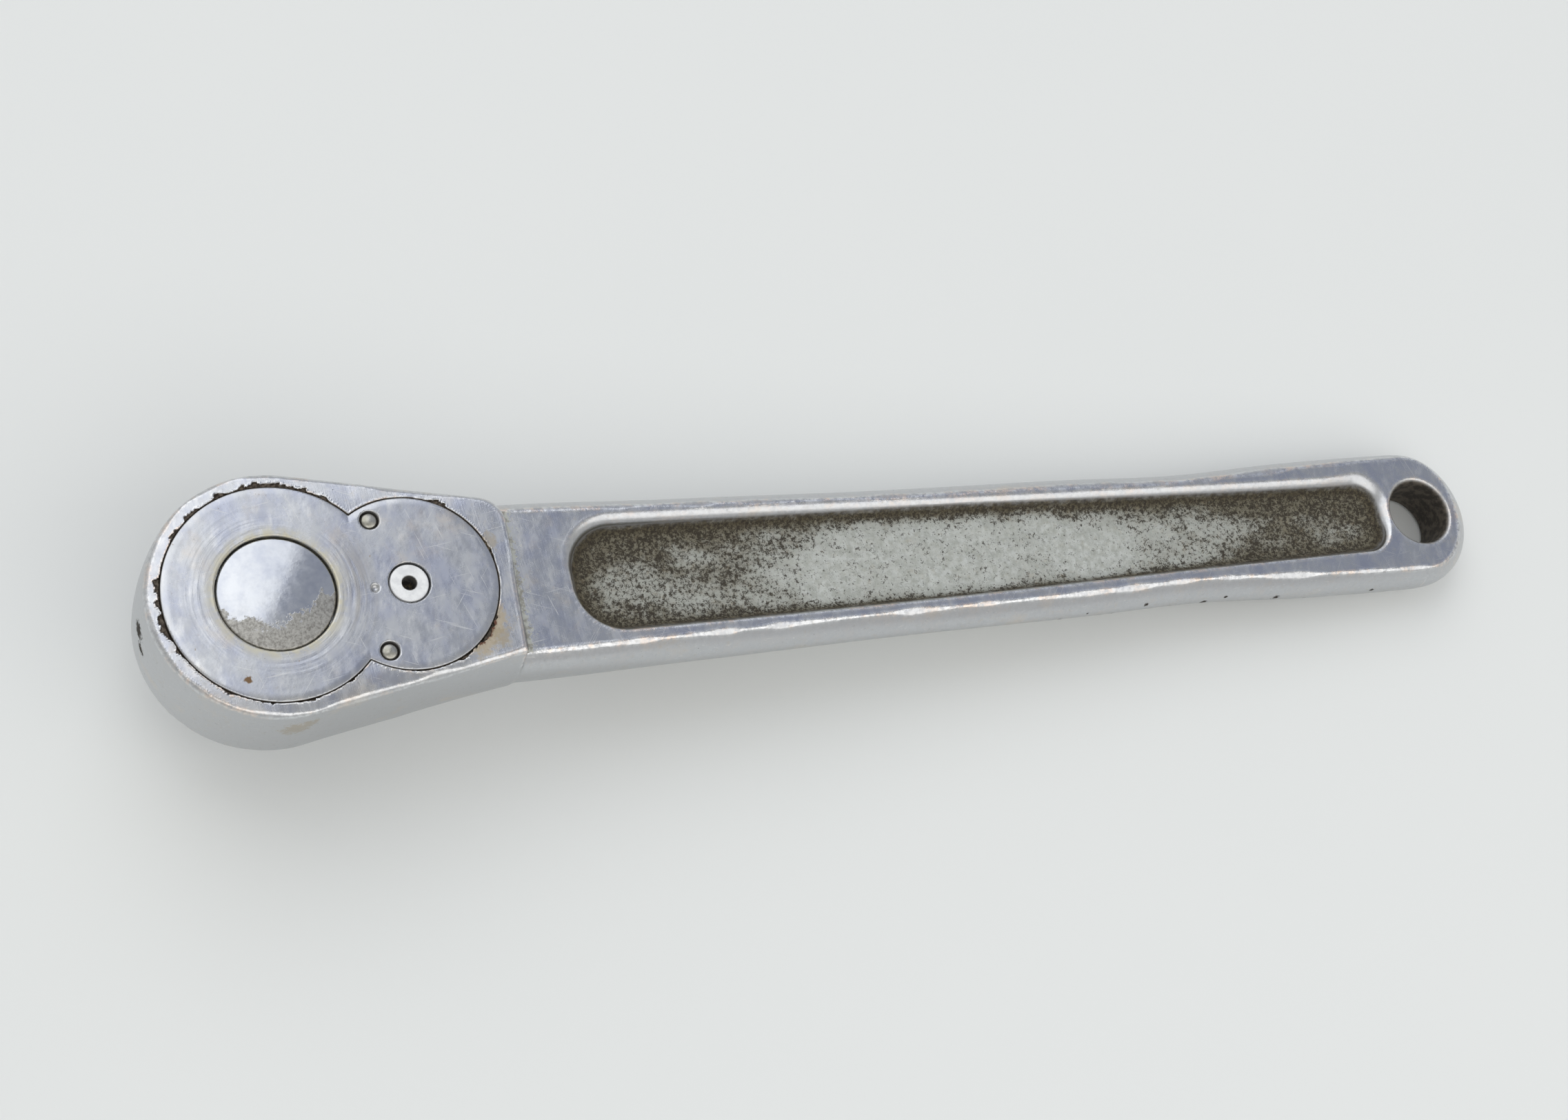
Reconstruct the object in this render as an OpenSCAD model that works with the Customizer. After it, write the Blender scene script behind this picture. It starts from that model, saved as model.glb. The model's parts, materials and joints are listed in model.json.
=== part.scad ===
// Reversible ratchet wrench with a half-inch square drive.
// The origin is on the drive axis, in the head's drive-side face. +Z points to the cover plate,
// and +X runs along the handle to the hanging hole.

/* [Head] */
// Thickness of the head
head_t = 18.5; // [17.5:0.5:20]
// Radius of the head where its wall bulges most
head_r = 20.9; // [20.6:0.1:22]
// How far the wall draws in from the bulge to each face
head_draft = 0.7; // [0.3:0.1:1]
// Distance from the drive axis to the selector axis
pivot_x = 21.4; // [21.4:0.1:21.6]
// Where the head ends in a step down to the handle
neck_x = 39.2; // [38:0.1:42]
// Half the head's width at that step
neck_half_w = 12.4; // [11:0.1:13]

/* [Handle] */
// Distance from the drive axis to the hanging hole
hole_x = 219.6; // [200:0.1:240]
// Radius of the hanging hole
hole_r = 6.1; // [5:0.1:7]
// Radius of the handle's round end, where its wall bulges most
end_r = 13.3; // [12:0.1:14]
// Thickness of the web between the two recessed panels
web_t = 4.8; // [4:0.1:6]
// Start and end of each recessed panel
panel_x = [49.6, 211.7];
// Half the panel's width near the head
panel_half_w = 9.9; // [9:0.1:10.2]
// Half the panel's width near the hole
panel_end_half_w = 7.05; // [6.5:0.05:7.5]

/* [Cover plate] */
// Thickness of the cover plate
cover_t = 2.6; // [2.2:0.1:3]
// Radius of the cover's lobe over the gear
cover_r = 18.1; // [17.5:0.1:18.3]
// Radius of the cover's lobe over the pawl
cover_lobe_r = 14.8; // [14.6:0.1:15]
// Place of each cover rivet along X, and to each side of the middle
rivet_at = [16.5, 11.2];
// Radius of a cover rivet
rivet_r = 1.5; // [1.4:0.05:1.6]

/* [Drive] */
// Across the flats of the drive square
square_w = 12.7; // [12.6:0.05:12.8]
// Length of the square below the head
square_l = 15.5; // [14.5:0.5:16]
// Number of teeth on the gear
teeth = 36; // [36]
// Radius over the tooth tips
gear_r = 14.6; // [14.5:0.1:14.6]
// Depth of a tooth
tooth_depth = 1.0; // [0.9:0.05:1]
// Radius of the hub that shows through the cover
hub_r = 9.5; // [9:0.1:9.6]
// How far the hub is crowned
hub_crown = 0.9; // [0.5:0.1:1.2]
// Radius of the drive journal in the head's floor
journal_r = 9.4; // [9.1:0.1:9.6]
// Radius of the detent ball
ball_r = 1.9; // [1.8:0.1:2]

/* [Reversing] */
// Radius of the selector shaft
shaft_r = 4.0; // [3.8:0.1:4.2]
// Radius of the shaft's end in the cover
shaft_end_r = 3.2; // [3:0.1:3.4]
// Half the lever's swing
lever_half_swing = 28; // [24:1:28]
// Half the pawl's swing, a quarter of the lever's
pawl_half_swing = 7; // [7]
// Radius of the plunger that presses on the pawl
plunger_r = 1.5; // [1.3:0.1:1.6]
// Thickness of the lever
lever_t = 3.8; // [3:0.1:4.5]
// Reach of the lever's thumb pad from the selector axis
lever_reach = 17.5; // [15:0.5:19]

/* [Hidden] */
$fn = 96;
eps = 0.01;
fit = 0.05;              // radial clearance of a shaft in its bore
play = 0.15;             // end play of the gear and the pawl
floor_t = 3.0;           // metal under the cavity
mid_z = head_t / 2;      // middle plane of the forging
cover_z = head_t - cover_t;
cavity_r = 15.2;
lobe_r = 12.3;
post_r = 2.6;            // metal round each rivet
rivet_hole_r = rivet_r + 0.02;
inner_z = floor_t + play;
inner_h = cover_z - inner_z - play;
plunger_z = inner_z + inner_h / 2;
collar_h = 1.0;          // how far the drive journal stands out of the head
ball_y = square_w / 2 + 0.65 - ball_r;
ball_z = -9.5;
ball_hole_end = -2.6;
window_x = 6.4;          // flat wall of the pawl's window, from the selector axis
plunger_tip = window_x - 0.05;
plunger_back = 1.2;
shaft_hole_end = -2.6;
lever_gap = 0.25;
lever_hub_r = 7.6;
pin_r = 1.0;
pin_z = -lever_gap - lever_t / 2;

// Handle, half its width at the flat face, by distance from the drive axis
flat_half_w = [[30, 12.7], [75, 11.7], [105, 10.85], [150, 10.3], [170, 9.7], [190, 10.55], [212, 11.3]];
// How far its rounded sides stand out past the flat face
side_bulge = [[30, 2.2], [45, 2.5], [75, 2.7], [190, 2.7], [212, 2.2], [220, 2.0]];
// Half its thickness
half_t = [[30, 6.0], [45, 5.9], [80, 5.2], [120, 4.5], [180, 4.9], [212, 5.1], [240, 5.1]];
end_x = hole_x - 1.1;    // middle of the round end
nose_x = hole_x + 8.1;   // where the end's flat face starts to fall away

// ---------- helpers ----------

// Points of an arc from angle a0 to a1, both included
function arc(c, r, a0, a1, n = 6) =
    [for (i = [0:n]) let (a = a0 + (a1 - a0) * i / n) [c[0] + r * cos(a), c[1] + r * sin(a)]];

function mirrored_y(pts) = [for (i = [len(pts) - 1:-1:0]) [pts[i][0], -pts[i][1]]];

// Outline of the gear, grown by a clearance on every side
module gear_outline(grow = 0) {
    pitch = 360 / teeth;
    tip_half = pitch * 0.10;
    root_half = pitch * 0.44;
    grow_a = grow / gear_r * 180 / PI * 1.2;
    tip_r = gear_r + grow;
    root_r = gear_r - tooth_depth + grow;
    polygon([for (i = [0:teeth - 1]) let (a = i * pitch) each [
        [root_r * cos(a - root_half - grow_a / 4), root_r * sin(a - root_half - grow_a / 4)],
        [tip_r * cos(a - tip_half - grow_a), tip_r * sin(a - tip_half - grow_a)],
        [tip_r * cos(a + tip_half + grow_a), tip_r * sin(a + tip_half + grow_a)],
        [root_r * cos(a + root_half + grow_a / 4), root_r * sin(a + root_half + grow_a / 4)]
    ]]);
}

// A round-wire compression spring along +Z, with its axis on Z
module coil_spring(r, wire_r, h, turns, sides = 8, per_turn = 14) {
    steps = turns * per_turn;
    rise = h - 2 * wire_r;
    pts = [for (i = [0:steps]) let (a = 360 * i / per_turn, z = wire_r + rise * i / steps)
        each [for (j = [0:sides - 1]) let (b = 360 * j / sides)
            [(r + wire_r * cos(b)) * cos(a), (r + wire_r * cos(b)) * sin(a), z + wire_r * sin(b)]]];
    walls = [for (i = [0:steps - 1], j = [0:sides - 1]) let (k = (j + 1) % sides)
        each [[i * sides + j, i * sides + k, (i + 1) * sides + k],
              [i * sides + j, (i + 1) * sides + k, (i + 1) * sides + j]]];
    start = [for (j = [sides - 1:-1:0]) j];
    finish = [for (j = [0:sides - 1]) steps * sides + j];
    polyhedron(pts, concat(walls, [start, finish]));
}

// Puts children on the selector axis, turned by an angle from +X
module at_pivot(angle = 0) {
    translate([pivot_x, 0, 0])
        rotate([0, 0, angle])
            children();
}

module at_rivets() {
    for (side = [-1, 1])
        translate([rivet_at[0], side * rivet_at[1], 0])
            children();
}

// ---------- handle body ----------

// Half the width of the handle's widest section at x
function side_w(x) = x < end_x
    ? lookup(x, flat_half_w) + lookup(x, side_bulge)
    : sqrt(max(end_r * end_r - (x - end_x) * (x - end_x), 1));
function top_w(x) = x < end_x
    ? lookup(x, flat_half_w)
    : max(side_w(x) - 2 - 2 * pow((x - end_x) / end_r, 2), 0.3 * side_w(x));
function thick(x) = x < nose_x
    ? lookup(x, half_t)
    : lookup(x, half_t) * sqrt(1 - pow((x - nose_x) / 4.9, 2));

// One ring of the handle's section, with flat faces and rounded sides
function section(x) = let (w = side_w(x), f = top_w(x), t = thick(x), s = f + (w - f) * 0.72)
    [[x, f, t], [x, s, t * 0.55], [x, w, 0], [x, s, -t * 0.55], [x, f, -t],
     [x, -f, -t], [x, -s, -t * 0.55], [x, -w, 0], [x, -s, t * 0.55], [x, -f, t]];

module handle_bar() {
    stations = concat([for (x = [31:9.3:210]) x], [for (a = [0:15:75]) end_x + end_r * sin(a)],
        [end_x + end_r * sin(83)]);
    n = 10;
    last = len(stations) - 1;
    pts = [for (x = stations) each section(x)];
    walls = [for (i = [0:last - 1], j = [0:n - 1]) let (k = (j + 1) % n)
        each [[i * n + j, i * n + k, (i + 1) * n + k],
              [i * n + j, (i + 1) * n + k, (i + 1) * n + j]]];
    start = [for (j = [n - 1:-1:0]) j];
    finish = [for (j = [0:n - 1]) last * n + j];
    translate([0, 0, mid_z])
        polyhedron(pts, concat(walls, [start, finish]));
}

// Round head with a slightly bulged wall, and the taper from it to the neck
module head_blank() {
    face_r = head_r - head_draft;
    rotate_extrude()
        polygon([
            [0, 0], [face_r - 0.6, 0], [face_r, 0.7], [head_r, 6.5], [head_r, 11.5],
            [face_r, head_t - 0.7], [face_r - 0.6, head_t], [0, head_t]
        ]);
    half = concat(
        [[0, face_r - 0.1], [6, 19.7], [13.6, 18.4], [20.2, 17.1], [neck_x - 5, neck_half_w + 1.7]],
        arc([neck_x - 3, neck_half_w - 1.6], 3, 70, 0, 4)
    );
    linear_extrude(head_t)
        polygon(concat(half, mirrored_y(half)));
}

// Outline of one recessed panel, wide near the head and narrow near the hole
module panel_outline() {
    r0 = 8.7;
    r1 = 5;
    half = concat(
        arc([panel_x[0] + r0, panel_half_w - r0], r0, 180, 92),
        [[82, 9.65], [120, 8.9], [163, 7.9]],
        arc([panel_x[1] - r1, panel_end_half_w - r1], r1, 90, 0)
    );
    polygon(concat(half, mirrored_y(half)));
}

// Hanging hole, with its rims rounded over by two chamfers on each side
module hanging_hole() {
    face_z = lookup(hole_x, half_t);
    translate([hole_x, 0, mid_z]) {
        cylinder(r = hole_r, h = 2 * face_z + 2, center = true);
        for (side = [0, 1])
            mirror([0, 0, side]) {
                translate([0, 0, face_z - 1.2])
                    cylinder(r1 = hole_r, r2 = hole_r + 1.2, h = 1.2 + eps);
                translate([0, 0, face_z - 0.5])
                    cylinder(r1 = hole_r + 0.5, r2 = hole_r + 2, h = 0.5 + eps);
            }
    }
}

// Space for the gear and the pawl, leaving a post round each rivet
module cavity_outline() {
    difference() {
        union() {
            circle(r = cavity_r);
            translate([pivot_x, 0])
                circle(r = lobe_r);
        }
        for (side = [-1, 1])
            translate([rivet_at[0], side * rivet_at[1]])
                circle(r = post_r);
    }
}

module cover_outline(grow = 0) {
    circle(r = cover_r + grow);
    translate([pivot_x, 0])
        circle(r = cover_lobe_r + grow);
}

module handle_body() {
    color([0.74, 0.76, 0.78])
    difference() {
        union() {
            head_blank();
            handle_bar();
        }
        for (side = [0, 1])
            translate([0, 0, mid_z])
                mirror([0, 0, side])
                    translate([0, 0, web_t / 2])
                        linear_extrude(8)
                            panel_outline();
        hanging_hole();
        translate([0, 0, cover_z])
            linear_extrude(cover_t + 1)
                cover_outline(fit);
        translate([0, 0, floor_t])
            linear_extrude(head_t - floor_t)
                cavity_outline();
        translate([0, 0, -1])
            cylinder(r = journal_r + fit, h = floor_t + 2);
        translate([pivot_x, 0, -1])
            cylinder(r = shaft_r + fit, h = floor_t + 2);
        at_rivets()
            translate([0, 0, -1])
                cylinder(r = rivet_hole_r, h = head_t + 2, $fn = 48);
    }
}

// ---------- cover ----------

module cover_plate() {
    color([0.70, 0.72, 0.74])
    difference() {
        translate([0, 0, cover_z])
            linear_extrude(cover_t)
                cover_outline();
        translate([0, 0, cover_z - 1])
            cylinder(r = hub_r + fit, h = cover_t + 2);
        translate([pivot_x, 0, cover_z - 1])
            cylinder(r = shaft_end_r + fit, h = cover_t + 2, $fn = 48);
        at_rivets()
            translate([0, 0, cover_z - 1])
                cylinder(r = rivet_hole_r, h = cover_t + 2, $fn = 48);
        // Punch mark between the hub and the selector shaft
        translate([15.7, -0.5, head_t - 0.5])
            cylinder(r1 = 0.1, r2 = 0.65, h = 0.5 + eps, $fn = 24);
    }
}

// A straight rivet through the head and the cover, with a low dome at each end
module cover_rivet(side) {
    dome = 0.35;
    color([0.66, 0.67, 0.69])
    translate([rivet_at[0], side * rivet_at[1], 0])
        rotate_extrude($fn = 48)
            polygon([
                [0, 0.05], [rivet_r * 0.6, 0.1], [rivet_r, 0.05 + dome], [rivet_r, head_t - 0.1 - dome],
                [rivet_r * 0.6, head_t - 0.1], [0, head_t - 0.05]
            ]);
}

module cover_rivet_1() {
    cover_rivet(-1);
}

module cover_rivet_2() {
    cover_rivet(1);
}

// ---------- drive ----------

// Square tang with corners broken along its length and a chamfered tip
module tang() {
    tip = 1.2;
    corner_r = square_w / 2 * sqrt(2) - 0.9;
    translate([0, 0, -square_l])
        intersection() {
            translate([-square_w / 2, -square_w / 2, 0])
                cube([square_w, square_w, square_l + 1]);
            union() {
                cylinder(r1 = corner_r - tip, r2 = corner_r, h = tip + eps);
                translate([0, 0, tip])
                    cylinder(r = corner_r, h = square_l + 1 - tip);
            }
        }
}

module drive_gear() {
    hub_top = head_t - 0.5;
    color([0.62, 0.64, 0.67])
    difference() {
        union() {
            translate([0, 0, inner_z])
                linear_extrude(inner_h)
                    gear_outline();
            rotate_extrude()
                polygon(concat(
                    [[0, 2], [hub_r, inner_z + 1], [hub_r, hub_top - 0.3], [hub_r - 0.3, hub_top]],
                    [for (i = [1:7]) let (r = (hub_r - 0.3) * (1 - i / 7))
                        [r, hub_top + hub_crown * (1 - pow(r / (hub_r - 0.3), 2))]]
                ));
            translate([0, 0, -collar_h])
                cylinder(r = journal_r, h = collar_h + inner_z + eps);
            tang();
        }
        // Cross hole for the detent ball, with a staked rim that keeps the ball in
        translate([0, 0, ball_z])
            rotate([-90, 0, 0]) {
                translate([0, 0, ball_hole_end])
                    cylinder(r = ball_r + fit, h = square_w / 2 - 0.6 - ball_hole_end, $fn = 48);
                translate([0, 0, square_w / 2 - 0.6 - eps])
                    cylinder(r1 = ball_r + fit, r2 = 1.55, h = 0.6 + 3 * eps, $fn = 48);
            }
    }
}

module drive_ball() {
    color([0.80, 0.82, 0.85])
    translate([0, ball_y, ball_z])
        sphere(r = ball_r, $fn = 48);
}

module drive_ball_spring() {
    gap = 0.05;
    color([0.45, 0.46, 0.48])
    translate([0, ball_hole_end + gap, ball_z])
        rotate([-90, 0, 0])
            coil_spring(1.2, 0.25, ball_y - ball_r - ball_hole_end + 0.2 - 2 * gap, 5);
}

// ---------- reversing mechanism ----------

// Pawl in its middle position, before the teeth are cut, from the pivot out
module pawl_blank() {
    hub = 6.2;
    half = concat(
        [[9.4, 4.2], [5.2, 6.4], [0, hub], [-5.01, 7.72], [-6.93, 7.48], [-8.5, 8.33], [-9.9, 7.3], [-7.9, 5.3]],
        arc([0, 0], hub, 150, 175, 4)
    );
    polygon(concat(half, mirrored_y(half)));
}

module pawl() {
    tooth_gap = 0.12;
    window_h = 2 * plunger_r + 0.6;
    color([0.40, 0.41, 0.43])
    at_pivot(pawl_half_swing)
        difference() {
            translate([0, 0, inner_z])
                linear_extrude(inner_h)
                    difference() {
                        pawl_blank();
                        for (side = [-1, 1])
                            rotate(side * pawl_half_swing)
                                translate([-pivot_x, 0])
                                    gear_outline(tooth_gap);
                    }
            translate([0, 0, inner_z - 1])
                cylinder(r = shaft_r + fit, h = inner_h + 2);
            translate([0, -5.1, plunger_z - window_h / 2])
                cube([window_x, 10.2, window_h]);
        }
}

module selector_shaft() {
    color([0.66, 0.68, 0.70])
    at_pivot(-lever_half_swing)
        difference() {
            union() {
                translate([0, 0, -lever_gap - lever_t])
                    cylinder(r = shaft_r, h = lever_gap + lever_t + cover_z - play);
                translate([0, 0, cover_z - play - eps])
                    cylinder(r = shaft_end_r, h = cover_t + play - 0.15 + eps, $fn = 48);
            }
            // Blind centre hole in the end that shows
            translate([0, 0, head_t - 2.4])
                cylinder(r = 1.2, h = 4, $fn = 32);
            // Blind cross hole for the plunger and its spring
            translate([shaft_hole_end, 0, plunger_z])
                rotate([0, 90, 0])
                    cylinder(r = plunger_r + fit, h = shaft_r - shaft_hole_end + 1, $fn = 48);
            // Hole for the pin that holds the lever
            translate([0, 0, pin_z])
                rotate([90, 0, 0])
                    cylinder(r = pin_r + 0.02, h = 3 * shaft_r, center = true, $fn = 32);
        }
}

module selector_lever() {
    ribs = 4;
    rib_pitch = 1.9;
    pad_half_w = 5.2;
    color([0.60, 0.62, 0.64])
    at_pivot(-lever_half_swing)
        difference() {
            translate([0, 0, -lever_gap - lever_t])
                linear_extrude(lever_t) {
                    circle(r = lever_hub_r);
                    polygon(concat(
                        [[0, -lever_hub_r], [lever_reach - 6, -pad_half_w]],
                        arc([lever_reach - pad_half_w, 0], pad_half_w, -90, 90, 12),
                        [[lever_reach - 6, pad_half_w], [0, lever_hub_r]]
                    ));
                }
            translate([0, 0, -lever_gap - lever_t - 1])
                cylinder(r = shaft_r + 0.02, h = lever_t + 2);
            translate([0, 0, pin_z])
                rotate([90, 0, 0])
                    cylinder(r = pin_r + 0.02, h = 3 * lever_hub_r, center = true, $fn = 32);
            // Grip grooves across the thumb pad
            for (i = [0:ribs - 1])
                translate([lever_reach - 2.6 - i * rib_pitch, 0, -lever_gap - lever_t])
                    rotate([0, 45, 0])
                        cube([0.9, 3 * pad_half_w, 0.9], center = true);
        }
}

module selector_pin() {
    color([0.50, 0.52, 0.54])
    at_pivot(-lever_half_swing)
        translate([0, 0, pin_z])
            rotate([90, 0, 0])
                cylinder(r = pin_r, h = 2 * lever_hub_r - 0.6, center = true, $fn = 32);
}

// Plunger with a round nose, shown pressed in as the pawl passes its middle position
module pawl_plunger() {
    color([0.72, 0.74, 0.76])
    at_pivot(-lever_half_swing)
        translate([plunger_back, 0, plunger_z])
            rotate([0, 90, 0]) {
                cylinder(r = plunger_r, h = plunger_tip - plunger_r - plunger_back, $fn = 48);
                translate([0, 0, plunger_tip - plunger_r - plunger_back])
                    sphere(r = plunger_r, $fn = 48);
            }
}

module pawl_spring() {
    gap = 0.05;
    color([0.45, 0.46, 0.48])
    at_pivot(-lever_half_swing)
        translate([shaft_hole_end + gap, 0, plunger_z])
            rotate([0, 90, 0])
                coil_spring(1.1, 0.2, plunger_back - shaft_hole_end - 2 * gap, 6);
}

handle_body();
cover_plate();
cover_rivet_1();
cover_rivet_2();
drive_gear();
drive_ball();
drive_ball_spring();
pawl();
selector_shaft();
selector_lever();
selector_pin();
pawl_plunger();
pawl_spring();
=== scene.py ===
"""Looks of the ratchet wrench: solid meshes with worn edges, procedural metals, floor, light and camera.

Shapes are distance fields in millimetres in the row frame, negative inside, turned into meshes by a surface net.
"""

import json
import math

import bpy
import numpy as np
from mathutils import Matrix, Vector


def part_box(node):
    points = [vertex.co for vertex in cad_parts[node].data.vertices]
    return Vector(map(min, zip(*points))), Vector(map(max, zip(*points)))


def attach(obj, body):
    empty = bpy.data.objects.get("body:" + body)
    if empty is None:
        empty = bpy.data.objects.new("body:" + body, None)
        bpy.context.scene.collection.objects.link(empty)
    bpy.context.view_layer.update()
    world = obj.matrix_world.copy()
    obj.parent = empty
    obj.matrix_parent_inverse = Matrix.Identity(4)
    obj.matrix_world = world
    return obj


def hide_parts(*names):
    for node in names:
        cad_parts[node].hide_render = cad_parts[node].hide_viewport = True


MM = 0.001

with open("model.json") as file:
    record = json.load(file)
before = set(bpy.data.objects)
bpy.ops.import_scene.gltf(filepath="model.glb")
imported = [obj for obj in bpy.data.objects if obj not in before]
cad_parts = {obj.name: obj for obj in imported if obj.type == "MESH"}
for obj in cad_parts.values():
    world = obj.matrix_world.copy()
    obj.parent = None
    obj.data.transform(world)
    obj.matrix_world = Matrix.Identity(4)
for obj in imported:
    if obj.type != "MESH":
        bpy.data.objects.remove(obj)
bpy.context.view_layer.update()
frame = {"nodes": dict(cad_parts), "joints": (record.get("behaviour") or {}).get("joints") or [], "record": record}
record = frame["record"]
nodes = frame["nodes"]
joints = {j["name"]: j for j in frame["joints"]}
mounts = {m["name"]: m for m in record["mounts"]}

# ---------- sizes, in millimetres, from the frame ----------


def box_mm(node):
    low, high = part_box(node)
    return [c / MM for c in low], [c / MM for c in high]


cover_low, cover_high = box_mm("cover_plate")
body_low, body_high = box_mm("handle_body")
lever_low, lever_high = box_mm("selector_lever")
gear_low, gear_high = box_mm("drive_gear")
rivet_low, rivet_high = box_mm("cover_rivet_2")
shaft_low, shaft_high = box_mm("selector_shaft")
ball_low, ball_high = box_mm("drive_ball")

HEAD_T = body_high[2]
MID_Z = HEAD_T / 2
HEAD_R = -body_low[0]
PIVOT_X = joints["lever_swing"]["pos_m"][0] / MM
HOLE_X = mounts["hanging_hole"]["pos_m"][0] / MM
HOLE_R = mounts["hanging_hole"]["dims"]["r_mm"]
COVER_Z = cover_low[2]
COVER_R = -cover_low[0]
LOBE_R = cover_high[0] - PIVOT_X
RIVET_R = (rivet_high[0] - rivet_low[0]) / 2
RIVET_X = (rivet_high[0] + rivet_low[0]) / 2
RIVET_Y = (rivet_high[1] + rivet_low[1]) / 2
SHAFT_R = (shaft_high[0] - shaft_low[0]) / 2
GEAR_R = gear_high[0]
SQUARE_TIP = gear_low[2]
LEVER_BOTTOM, LEVER_TOP = lever_low[2], lever_high[2]
LEVER_ANGLE = -math.radians(joints["lever_swing"]["range_deg"][1] / 2)
PIN_Z = (LEVER_BOTTOM + LEVER_TOP) / 2
BALL_R = (ball_high[0] - ball_low[0]) / 2
BALL_Z = (ball_high[2] + ball_low[2]) / 2

FIT = 0.05
NECK_X = 39.2
FACE_INSET = 0.45  # how far the head's walls stand out beyond the rim of its face
FLOOR_T = 3.0
CAVITY_R = 15.2
CAVITY_LOBE_R = 12.3
POST_R = 2.6
INNER_GAP = 0.15  # above and below what turns inside the head
HUB_R = 9.5
JOURNAL_R = 9.4
TEETH = 36
DOME_RISE = gear_high[2] - (HEAD_T - 0.5)
SHAFT_END_R = 3.2
SHAFT_BORE_R = 1.2
PLUNGER_BORE_R = 1.55
CROSS_BORE_END = -2.6  # where the bores of the ball and of the plunger stop, beyond the middle
PIN_BORE_R = 1.02
SQUARE_HALF = 12.7 / 2
END_X = HOLE_X - 1.1
END_R = 13.3
WEB_HALF = 2.4
PANEL_X = (49.6, 211.7)
PANEL_DRAFT = 0.42  # how much a panel widens for each mm of height above its floor

# ---------- distance-field tools ----------


def both(a, b, r=0.0):
    """Where a and b overlap, with the edge between them rounded to radius r."""
    if np.isscalar(r) and r == 0:
        return np.maximum(a, b)
    u = np.maximum(a + r, 0)
    v = np.maximum(b + r, 0)
    return np.minimum(np.maximum(a, b), -r) + np.sqrt(u * u + v * v)


def either(a, b, r=0.0):
    """a and b together, with the corner between them filled to radius r."""
    return -both(-a, -b, r)


def without(a, b, r=0.0):
    """a with b cut out, and the rim of the cut rounded to radius r."""
    return both(a, -b, r)


def disc(x, y, r, cx=0.0, cy=0.0):
    return np.hypot(x - cx, y - cy) - r


def slab(z, low, high):
    return np.abs(z - (low + high) / 2) - (high - low) / 2


def step(v, low, high):
    """0 below low, 1 above high, smooth between."""
    t = np.clip((v - low) / (high - low), 0, 1)
    return t * t * (3 - 2 * t)


def profile(points, soft=7.0):
    """A smooth function through a few (x, value) points."""
    xs = np.arange(-40.0, 260.0, 0.5)
    px, py = zip(*points)
    ys = np.interp(xs, px, py)
    reach = np.arange(-4 * soft, 4 * soft + 0.5, 0.5)
    weights = np.exp(-0.5 * (reach / soft) ** 2)
    padded = np.pad(ys, len(reach) // 2, mode="edge")
    smooth = np.convolve(padded, weights / weights.sum(), mode="valid")[: len(xs)]
    return lambda x: np.interp(x, xs, smooth)


def lattice_noise(seed, size=64):
    """Smooth random heights from 0 to 1 over a plane; the returned function takes x, y in cells."""
    table = np.random.default_rng(seed).random((size, size))

    def at(x, y):
        xi, yi = np.floor(x).astype(int), np.floor(y).astype(int)
        tx, ty = x - xi, y - yi
        tx, ty = tx * tx * (3 - 2 * tx), ty * ty * (3 - 2 * ty)
        x0, x1, y0, y1 = xi % size, (xi + 1) % size, yi % size, (yi + 1) % size
        low = table[x0, y0] * (1 - tx) + table[x1, y0] * tx
        high = table[x0, y1] * (1 - tx) + table[x1, y1] * tx
        return low * (1 - ty) + high * ty

    return at


def spread(low, high, pitch):
    return np.linspace(low, high, max(2, int(round((high - low) / pitch)) + 1))


def join_axes(*runs):
    """One axis from runs of (low, high, pitch) laid end to end."""
    parts = [spread(*run) for run in runs]
    return np.concatenate([parts[0]] + [p[1:] for p in parts[1:]])


def surface_net(field, axes):
    """Vertices and quads of the surface where field is 0, on a grid with the given three axes."""
    xs, ys, zs = axes
    shape = (len(xs), len(ys), len(zs))
    value = field(xs[:, None, None], ys[None, :, None], zs[None, None, :])
    value = np.ascontiguousarray(np.broadcast_to(value, shape), dtype=np.float32)
    inside = value < 0
    count = np.zeros(tuple(n - 1 for n in shape), np.int8)
    for i in (0, 1):
        for j in (0, 1):
            for k in (0, 1):
                count += inside[i : shape[0] - 1 + i, j : shape[1] - 1 + j, k : shape[2] - 1 + k]
    mixed = (count > 0) & (count < 8)
    index = np.full(mixed.shape, -1, np.int64)
    total = int(mixed.sum())
    index[mixed] = np.arange(total)
    weight = np.zeros(total)
    place = np.zeros((total, 3))
    quads = []
    for axis in range(3):
        low = [slice(None)] * 3
        high = [slice(None)] * 3
        low[axis], high[axis] = slice(0, -1), slice(1, None)
        cell = np.array(np.nonzero(inside[tuple(low)] != inside[tuple(high)]))
        u, v = (axis + 1) % 3, (axis + 2) % 3
        keep = (cell[u] > 0) & (cell[u] < shape[u] - 1) & (cell[v] > 0) & (cell[v] < shape[v] - 1)
        cell = cell[:, keep]
        after = cell.copy()
        after[axis] += 1
        f0, f1 = value[tuple(cell)], value[tuple(after)]
        point = np.stack([axes[d][cell[d]] for d in range(3)])
        point[axis] += f0 / (f0 - f1) * (axes[axis][after[axis]] - axes[axis][cell[axis]])
        ring = []
        for du, dv in ((-1, -1), (0, -1), (0, 0), (-1, 0)):
            near = cell.copy()
            near[u] += du
            near[v] += dv
            ids = index[tuple(near)]
            ring.append(ids)
            weight += np.bincount(ids, minlength=total)
            for d in range(3):
                place[:, d] += np.bincount(ids, weights=point[d], minlength=total)
        ring = np.stack(ring, axis=1)
        flip = f0 > 0
        ring[flip] = ring[flip][:, ::-1]
        quads.append(ring)
    return place / weight[:, None], np.concatenate(quads)


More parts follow.
